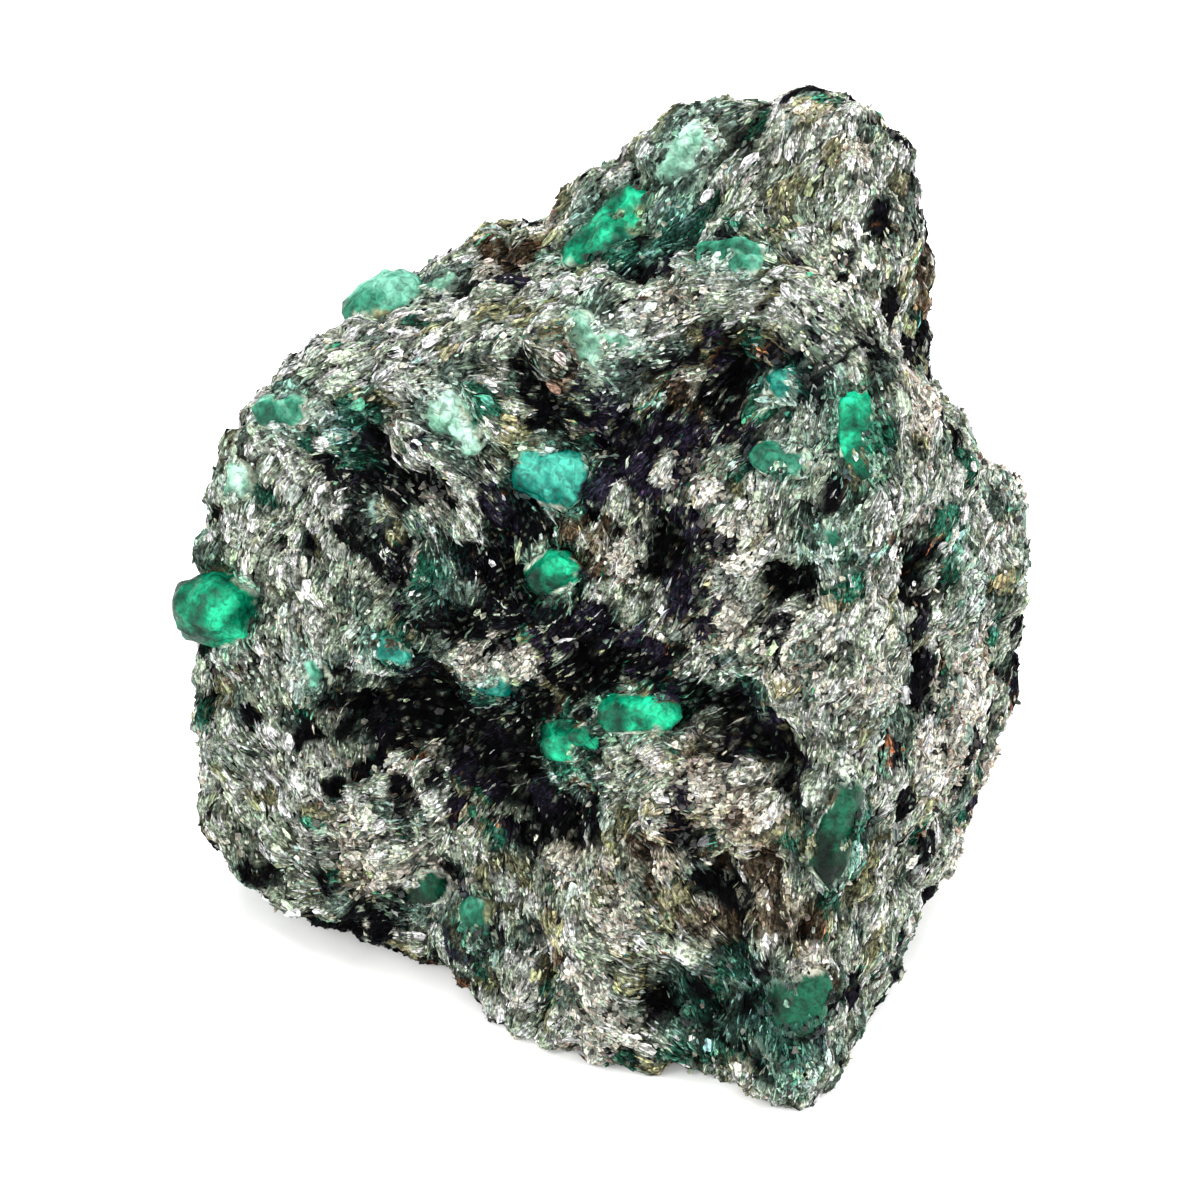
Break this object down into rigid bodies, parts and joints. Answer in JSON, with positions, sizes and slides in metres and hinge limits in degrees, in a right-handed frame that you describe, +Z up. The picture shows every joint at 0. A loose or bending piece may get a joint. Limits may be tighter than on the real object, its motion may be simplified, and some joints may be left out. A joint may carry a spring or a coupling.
{
  "type": "emerald in matrix specimen",
  "caption": "Angular lump of flaky grey-green mica schist with translucent emerald crystals seated in its broken faces, standing on a worn flat underside.",
  "frame": {"origin": "under the middle of the specimen's bounding box, on the surface that it stands on", "axes": "+Z up, -Y towards the face with the most emeralds, +X to the right of someone looking at that face"},
  "size_m": [0.0518, 0.0472, 0.0524],
  "materials": {
    "matrix": "flaky mica schist with pearly cleavage faces",
    "emerald": "cloudy translucent beryl with worn faces"
  },
  "bodies": {
    "root": {"matrix": "matrix", "emerald_left_bead": "emerald", "emerald_top_dome": "emerald", "emerald_top_chip": "emerald", "emerald_brow_left": "emerald", "emerald_left_rim": "emerald", "emerald_block": "emerald", "emerald_middle": "emerald", "emerald_bright_bar": "emerald", "emerald_vivid": "emerald", "emerald_brow_pale": "emerald", "emerald_spur_foot": "emerald", "emerald_spur_slope": "emerald", "emerald_spur_middle": "emerald", "emerald_shelf_large": "emerald", "emerald_arch_dark": "emerald", "emerald_arch_upright": "emerald", "emerald_arch_bright": "emerald", "emerald_edge_pale": "emerald", "emerald_edge_smear": "emerald", "emerald_foot_dark": "emerald", "emerald_foot_tip": "emerald", "emerald_heel_dark": "emerald", "emerald_heel_teal": "emerald", "emerald_left_pale": "emerald", "emerald_left_teal": "emerald", "emerald_hollow_teal": "emerald", "emerald_grey": "emerald", "emerald_front_left": "emerald", "emerald_left_low": "emerald", "emerald_right_slab": "emerald", "emerald_right_grey": "emerald", "emerald_right_yellow": "emerald", "emerald_front_low": "emerald", "emerald_back_large": "emerald", "emerald_back_upper": "emerald", "emerald_back_lower": "emerald", "emerald_back_left": "emerald", "emerald_back_bead": "emerald", "emerald_back_right": "emerald", "emerald_back_shelf": "emerald", "emerald_side_right": "emerald"}
  },
  "joints": []
}
